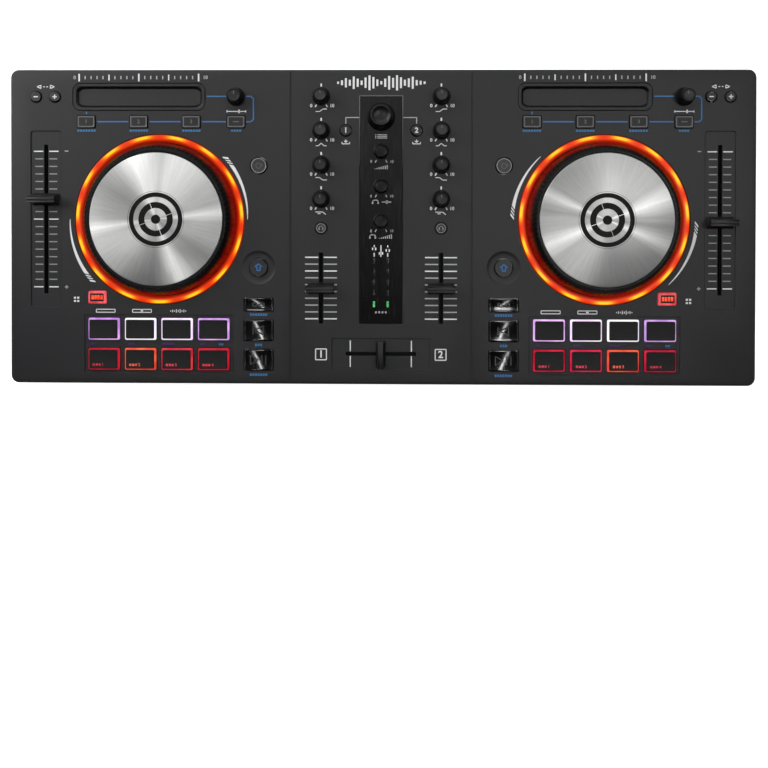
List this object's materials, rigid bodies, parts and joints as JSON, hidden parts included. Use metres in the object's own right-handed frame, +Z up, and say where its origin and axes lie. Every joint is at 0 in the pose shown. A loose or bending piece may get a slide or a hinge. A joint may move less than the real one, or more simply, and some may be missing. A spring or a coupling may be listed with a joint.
{
  "type": "dj controller",
  "caption": "Table-top DJ controller with lit jog wheels, performance pads, touch strips, faders, knobs and a central mixer, all of them movable.",
  "frame": {"origin": "on the surface that the controller stands on, under the middle of its housing", "axes": "+X along the housing towards the right-hand deck, +Y towards the rear edge with its sockets, +Z up"},
  "size_m": [0.551, 0.2328, 0.0445],
  "materials": {
    "amber_light_pipe": "translucent, lit from below",
    "board_green": "solder resist",
    "brushed_aluminium": "circular brushed",
    "clear_silicone": "satin, lit from below",
    "gloss_black": "polished",
    "matt_black_housing": "fine moulded grain",
    "soft_black": "satin",
    "tin_plate": "plated"
  },
  "bodies": {
    "housing": {"base_tray": "matt_black_housing", "front_foot_strip": "soft_black", "rear_foot_strip": "soft_black", "rear_sockets": "tin_plate", "front_sockets": "gloss_black", "main_board": "board_green", "top_panel": "matt_black_housing", "centre_strip": "gloss_black", "left_light_ring": "amber_light_pipe", "right_light_ring": "amber_light_pipe", "left_touch_strip": "matt_black_housing", "right_touch_strip": "matt_black_housing"},
    "left_jog": {"left_jog_wheel": "gloss_black", "left_jog_plate": "brushed_aluminium"},
    "right_jog": {"right_jog_wheel": "gloss_black", "right_jog_plate": "brushed_aluminium"},
    "left_pitch_cap": {"left_pitch_cap": "soft_black"},
    "left_line_cap": {"left_line_cap": "soft_black"},
    "right_pitch_cap": {"right_pitch_cap": "soft_black"},
    "right_line_cap": {"right_line_cap": "soft_black"},
    "crossfader_cap": {"crossfader_cap": "soft_black"},
    "browse_knob": {"browse_knob": "soft_black"},
    "master_gain_knob": {"master_gain_knob": "soft_black"},
    "cue_mix_knob": {"cue_mix_knob": "soft_black"},
    "cue_gain_knob": {"cue_gain_knob": "soft_black"},
    "left_treble_knob": {"left_treble_knob": "soft_black"},
    "left_mid_knob": {"left_mid_knob": "soft_black"},
    "left_bass_knob": {"left_bass_knob": "soft_black"},
    "left_filter_knob": {"left_filter_knob": "soft_black"},
    "left_parameter_knob": {"left_parameter_knob": "soft_black"},
    "right_treble_knob": {"right_treble_knob": "soft_black"},
    "right_mid_knob": {"right_mid_knob": "soft_black"},
    "right_bass_knob": {"right_bass_knob": "soft_black"},
    "right_filter_knob": {"right_filter_knob": "soft_black"},
    "right_parameter_knob": {"right_parameter_knob": "soft_black"},
    "left_pitch_minus_button": {"left_pitch_minus_button": "gloss_black"},
    "left_pitch_plus_button": {"left_pitch_plus_button": "gloss_black"},
    "left_wheel_button": {"left_wheel_button": "gloss_black"},
    "left_shift_button": {"left_shift_button": "gloss_black"},
    "left_phones_button": {"left_phones_button": "gloss_black"},
    "left_load_button": {"left_load_button": "gloss_black"},
    "right_pitch_minus_button": {"right_pitch_minus_button": "gloss_black"},
    "right_pitch_plus_button": {"right_pitch_plus_button": "gloss_black"},
    "right_wheel_button": {"right_wheel_button": "gloss_black"},
    "right_shift_button": {"right_shift_button": "gloss_black"},
    "right_phones_button": {"right_phones_button": "gloss_black"},
    "right_load_button": {"right_load_button": "gloss_black"},
    "left_sync_key": {"left_sync_key": "gloss_black"},
    "left_cue_key": {"left_cue_key": "gloss_black"},
    "left_play_key": {"left_play_key": "gloss_black"},
    "left_pad_mode_key": {"left_pad_mode_key": "gloss_black"},
    "right_sync_key": {"right_sync_key": "gloss_black"},
    "right_cue_key": {"right_cue_key": "gloss_black"},
    "right_play_key": {"right_play_key": "gloss_black"},
    "right_pad_mode_key": {"right_pad_mode_key": "gloss_black"},
    "left_pad_mat": {"left_pad_mat": "clear_silicone"},
    "left_effect_mat": {"left_effect_mat": "clear_silicone"},
    "right_pad_mat": {"right_pad_mat": "clear_silicone"},
    "right_effect_mat": {"right_effect_mat": "clear_silicone"}
  },
  "joints": [
    {"name": "left_jog_turn", "type": "hinge", "parent": "housing", "child": "left_jog", "pos_m": [-0.164, 0.00555, 0.032], "axis": [0, 0, 1], "continuous": true},
    {"name": "right_jog_turn", "type": "hinge", "parent": "housing", "child": "right_jog", "pos_m": [0.164, 0.00555, 0.032], "axis": [0, 0, 1], "continuous": true},
    {"name": "left_pitch_cap_slide", "type": "slide", "parent": "housing", "child": "left_pitch_cap", "axis": [0, 1, 0], "range_m": [-0.0647, 0.0353]},
    {"name": "left_line_cap_slide", "type": "slide", "parent": "housing", "child": "left_line_cap", "axis": [0, 1, 0], "range_m": [-0.0225, 0.0225]},
    {"name": "right_pitch_cap_slide", "type": "slide", "parent": "housing", "child": "right_pitch_cap", "axis": [0, 1, 0], "range_m": [-0.0483, 0.0517]},
    {"name": "right_line_cap_slide", "type": "slide", "parent": "housing", "child": "right_line_cap", "axis": [0, 1, 0], "range_m": [-0.0225, 0.0225]},
    {"name": "crossfader_cap_slide", "type": "slide", "parent": "housing", "child": "crossfader_cap", "axis": [1, 0, 0], "range_m": [-0.0225, 0.0225]},
    {"name": "browse_knob_turn", "type": "hinge", "parent": "housing", "child": "browse_knob", "pos_m": [0, 0.08145, 0.032], "axis": [0, 0, 1], "continuous": true},
    {"name": "master_gain_knob_turn", "type": "hinge", "parent": "housing", "child": "master_gain_knob", "pos_m": [0, 0.05605, 0.032], "axis": [0, 0, 1], "range_deg": [-150, 150]},
    {"name": "cue_mix_knob_turn", "type": "hinge", "parent": "housing", "child": "cue_mix_knob", "pos_m": [0, 0.03045, 0.032], "axis": [0, 0, 1], "range_deg": [-150, 150]},
    {"name": "cue_gain_knob_turn", "type": "hinge", "parent": "housing", "child": "cue_gain_knob", "pos_m": [0, 0.00485, 0.032], "axis": [0, 0, 1], "range_deg": [-150, 150]},
    {"name": "left_treble_knob_turn", "type": "hinge", "parent": "housing", "child": "left_treble_knob", "pos_m": [-0.0443, 0.09655, 0.032], "axis": [0, 0, 1], "range_deg": [-150, 150]},
    {"name": "left_mid_knob_turn", "type": "hinge", "parent": "housing", "child": "left_mid_knob", "pos_m": [-0.0443, 0.0713, 0.032], "axis": [0, 0, 1], "range_deg": [-150, 150]},
    {"name": "left_bass_knob_turn", "type": "hinge", "parent": "housing", "child": "left_bass_knob", "pos_m": [-0.0443, 0.04605, 0.032], "axis": [0, 0, 1], "range_deg": [-150, 150]},
    {"name": "left_filter_knob_turn", "type": "hinge", "parent": "housing", "child": "left_filter_knob", "pos_m": [-0.0443, 0.0208, 0.032], "axis": [0, 0, 1], "range_deg": [-150, 150]},
    {"name": "left_parameter_knob_turn", "type": "hinge", "parent": "housing", "child": "left_parameter_knob", "pos_m": [-0.1073, 0.09615, 0.032], "axis": [0, 0, 1], "continuous": true},
    {"name": "right_treble_knob_turn", "type": "hinge", "parent": "housing", "child": "right_treble_knob", "pos_m": [0.0443, 0.09655, 0.032], "axis": [0, 0, 1], "range_deg": [-150, 150]},
    {"name": "right_mid_knob_turn", "type": "hinge", "parent": "housing", "child": "right_mid_knob", "pos_m": [0.0443, 0.0713, 0.032], "axis": [0, 0, 1], "range_deg": [-150, 150]},
    {"name": "right_bass_knob_turn", "type": "hinge", "parent": "housing", "child": "right_bass_knob", "pos_m": [0.0443, 0.04605, 0.032], "axis": [0, 0, 1], "range_deg": [-150, 150]},
    {"name": "right_filter_knob_turn", "type": "hinge", "parent": "housing", "child": "right_filter_knob", "pos_m": [0.0443, 0.0208, 0.032], "axis": [0, 0, 1], "range_deg": [-150, 150]},
    {"name": "right_parameter_knob_turn", "type": "hinge", "parent": "housing", "child": "right_parameter_knob", "pos_m": [0.2221, 0.09615, 0.032], "axis": [0, 0, 1], "continuous": true},
    {"name": "left_pitch_minus_button_slide", "type": "slide", "parent": "housing", "child": "left_pitch_minus_button", "axis": [0, 0, -1], "range_m": [0, 0.0008], "stiffness_N_per_m": 300, "springref_m": -0.001},
    {"name": "left_pitch_plus_button_slide", "type": "slide", "parent": "housing", "child": "left_pitch_plus_button", "axis": [0, 0, -1], "range_m": [0, 0.0008], "stiffness_N_per_m": 300, "springref_m": -0.001},
    {"name": "left_wheel_button_slide", "type": "slide", "parent": "housing", "child": "left_wheel_button", "axis": [0, 0, -1], "range_m": [0, 0.0008], "stiffness_N_per_m": 300, "springref_m": -0.001},
    {"name": "left_shift_button_slide", "type": "slide", "parent": "housing", "child": "left_shift_button", "axis": [0, 0, -1], "range_m": [0, 0.0008], "stiffness_N_per_m": 300, "springref_m": -0.001},
    {"name": "left_phones_button_slide", "type": "slide", "parent": "housing", "child": "left_phones_button", "axis": [0, 0, -1], "range_m": [0, 0.0008], "stiffness_N_per_m": 300, "springref_m": -0.001},
    {"name": "left_load_button_slide", "type": "slide", "parent": "housing", "child": "left_load_button", "axis": [0, 0, -1], "range_m": [0, 0.0008], "stiffness_N_per_m": 300, "springref_m": -0.001},
    {"name": "right_pitch_minus_button_slide", "type": "slide", "parent": "housing", "child": "right_pitch_minus_button", "axis": [0, 0, -1], "range_m": [0, 0.0008], "stiffness_N_per_m": 300, "springref_m": -0.001},
    {"name": "right_pitch_plus_button_slide", "type": "slide", "parent": "housing", "child": "right_pitch_plus_button", "axis": [0, 0, -1], "range_m": [0, 0.0008], "stiffness_N_per_m": 300, "springref_m": -0.001},
    {"name": "right_wheel_button_slide", "type": "slide", "parent": "housing", "child": "right_wheel_button", "axis": [0, 0, -1], "range_m": [0, 0.0008], "stiffness_N_per_m": 300, "springref_m": -0.001},
    {"name": "right_shift_button_slide", "type": "slide", "parent": "housing", "child": "right_shift_button", "axis": [0, 0, -1], "range_m": [0, 0.0008], "stiffness_N_per_m": 300, "springref_m": -0.001},
    {"name": "right_phones_button_slide", "type": "slide", "parent": "housing", "child": "right_phones_button", "axis": [0, 0, -1], "range_m": [0, 0.0008], "stiffness_N_per_m": 300, "springref_m": -0.001},
    {"name": "right_load_button_slide", "type": "slide", "parent": "housing", "child": "right_load_button", "axis": [0, 0, -1], "range_m": [0, 0.0008], "stiffness_N_per_m": 300, "springref_m": -0.001},
    {"name": "left_sync_key_slide", "type": "slide", "parent": "housing", "child": "left_sync_key", "axis": [0, 0, -1], "range_m": [0, 0.0008], "stiffness_N_per_m": 300, "springref_m": -0.001},
    {"name": "left_cue_key_slide", "type": "slide", "parent": "housing", "child": "left_cue_key", "axis": [0, 0, -1], "range_m": [0, 0.0008], "stiffness_N_per_m": 300, "springref_m": -0.001},
    {"name": "left_play_key_slide", "type": "slide", "parent": "housing", "child": "left_play_key", "axis": [0, 0, -1], "range_m": [0, 0.0008], "stiffness_N_per_m": 300, "springref_m": -0.001},
    {"name": "left_pad_mode_key_slide", "type": "slide", "parent": "housing", "child": "left_pad_mode_key", "axis": [0, 0, -1], "range_m": [0, 0.0008], "stiffness_N_per_m": 300, "springref_m": -0.001},
    {"name": "right_sync_key_slide", "type": "slide", "parent": "housing", "child": "right_sync_key", "axis": [0, 0, -1], "range_m": [0, 0.0008], "stiffness_N_per_m": 300, "springref_m": -0.001},
    {"name": "right_cue_key_slide", "type": "slide", "parent": "housing", "child": "right_cue_key", "axis": [0, 0, -1], "range_m": [0, 0.0008], "stiffness_N_per_m": 300, "springref_m": -0.001},
    {"name": "right_play_key_slide", "type": "slide", "parent": "housing", "child": "right_play_key", "axis": [0, 0, -1], "range_m": [0, 0.0008], "stiffness_N_per_m": 300, "springref_m": -0.001},
    {"name": "right_pad_mode_key_slide", "type": "slide", "parent": "housing", "child": "right_pad_mode_key", "axis": [0, 0, -1], "range_m": [0, 0.0008], "stiffness_N_per_m": 300, "springref_m": -0.001},
    {"name": "left_pad_mat_slide", "type": "slide", "parent": "housing", "child": "left_pad_mat", "axis": [0, 0, -1], "range_m": [0, 0.0008], "stiffness_N_per_m": 2400, "springref_m": -0.001},
    {"name": "left_effect_mat_slide", "type": "slide", "parent": "housing", "child": "left_effect_mat", "axis": [0, 0, -1], "range_m": [0, 0.0008], "stiffness_N_per_m": 1200, "springref_m": -0.001},
    {"name": "right_pad_mat_slide", "type": "slide", "parent": "housing", "child": "right_pad_mat", "axis": [0, 0, -1], "range_m": [0, 0.0008], "stiffness_N_per_m": 2400, "springref_m": -0.001},
    {"name": "right_effect_mat_slide", "type": "slide", "parent": "housing", "child": "right_effect_mat", "axis": [0, 0, -1], "range_m": [0, 0.0008], "stiffness_N_per_m": 1200, "springref_m": -0.001}
  ]
}
